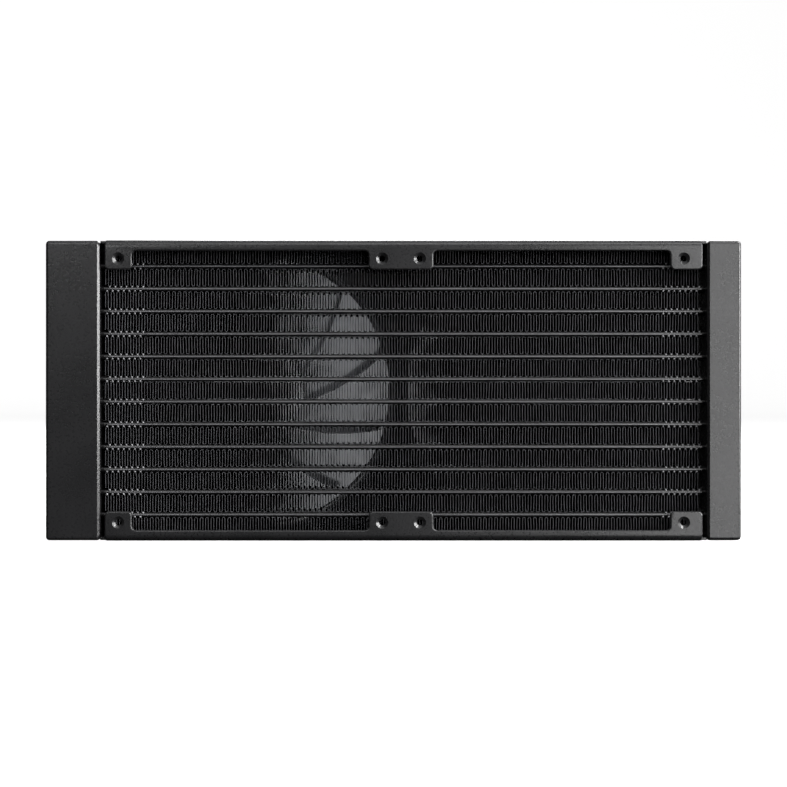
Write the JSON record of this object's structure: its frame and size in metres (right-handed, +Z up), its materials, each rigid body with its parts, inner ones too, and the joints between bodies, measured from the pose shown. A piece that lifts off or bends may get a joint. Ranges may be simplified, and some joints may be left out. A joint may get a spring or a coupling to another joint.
{
  "type": "liquid cooling radiator",
  "caption": "Slim black liquid cooling radiator with flat tubes, folded fins, end tanks and hose barbs, with two axial fans screwed to the back of its rails.",
  "frame": {"origin": "under the middle of the whole assembly, fans included, on the surface that it stands on", "axes": "+X along the core from the port tank to the return tank, -Y out of the bare front face, +Y out of the fan side, +Z up"},
  "size_m": [0.277, 0.0544, 0.12],
  "materials": {
    "tank_paint": "satin",
    "header_paint": "satin",
    "tube_paint": "satin",
    "fin_paint": "satin",
    "rail_paint": "satin",
    "fitting_metal": "satin",
    "seal_rubber": "matte",
    "fan_frame_plastic": "matte",
    "impeller_plastic": "satin",
    "magnet_rubber": "matte",
    "shaft_steel": "polished",
    "bearing_brass": "satin",
    "stator_laminate": "satin",
    "board_resin": "satin",
    "screw_steel": "satin"
  },
  "bodies": {
    "radiator": {"port_tank": "tank_paint", "return_tank": "tank_paint", "port_header_plate": "header_paint", "return_header_plate": "header_paint", "tank_divider": "header_paint", "flat_tube_01": "tube_paint", "flat_tube_02": "tube_paint", "flat_tube_03": "tube_paint", "flat_tube_04": "tube_paint", "flat_tube_05": "tube_paint", "flat_tube_06": "tube_paint", "flat_tube_07": "tube_paint", "flat_tube_08": "tube_paint", "flat_tube_09": "tube_paint", "flat_tube_10": "tube_paint", "flat_tube_11": "tube_paint", "flat_tube_12": "tube_paint", "fin_row_01": "fin_paint", "fin_row_02": "fin_paint", "fin_row_03": "fin_paint", "fin_row_04": "fin_paint", "fin_row_05": "fin_paint", "fin_row_06": "fin_paint", "fin_row_07": "fin_paint", "fin_row_08": "fin_paint", "fin_row_09": "fin_paint", "fin_row_10": "fin_paint", "fin_row_11": "fin_paint", "fin_row_12": "fin_paint", "fin_row_13": "fin_paint", "bottom_rail": "rail_paint", "top_rail": "rail_paint", "outlet_fitting": "fitting_metal", "outlet_o_ring": "seal_rubber", "inlet_fitting": "fitting_metal", "inlet_o_ring": "seal_rubber", "fan_1_frame": "fan_frame_plastic", "fan_1_bearing": "bearing_brass", "fan_1_stator": "stator_laminate", "fan_1_circuit_board": "board_resin", "fan_2_frame": "fan_frame_plastic", "fan_2_bearing": "bearing_brass", "fan_2_stator": "stator_laminate", "fan_2_circuit_board": "board_resin", "fan_screw_1": "screw_steel", "fan_screw_2": "screw_steel", "fan_screw_3": "screw_steel", "fan_screw_4": "screw_steel", "fan_screw_5": "screw_steel", "fan_screw_6": "screw_steel", "fan_screw_7": "screw_steel", "fan_screw_8": "screw_steel"},
    "fan_1_rotor": {"fan_1_impeller": "impeller_plastic", "fan_1_magnet_ring": "magnet_rubber", "fan_1_shaft": "shaft_steel"},
    "fan_2_rotor": {"fan_2_impeller": "impeller_plastic", "fan_2_magnet_ring": "magnet_rubber", "fan_2_shaft": "shaft_steel"}
  },
  "joints": [
    {"name": "fan_1_spin", "type": "hinge", "parent": "radiator", "child": "fan_1_rotor", "pos_m": [-0.057, 0.0125, 0.06], "axis": [0, -1, 0], "continuous": true},
    {"name": "fan_2_spin", "type": "hinge", "parent": "radiator", "child": "fan_2_rotor", "pos_m": [0.063, 0.0125, 0.06], "axis": [0, -1, 0], "continuous": true}
  ]
}
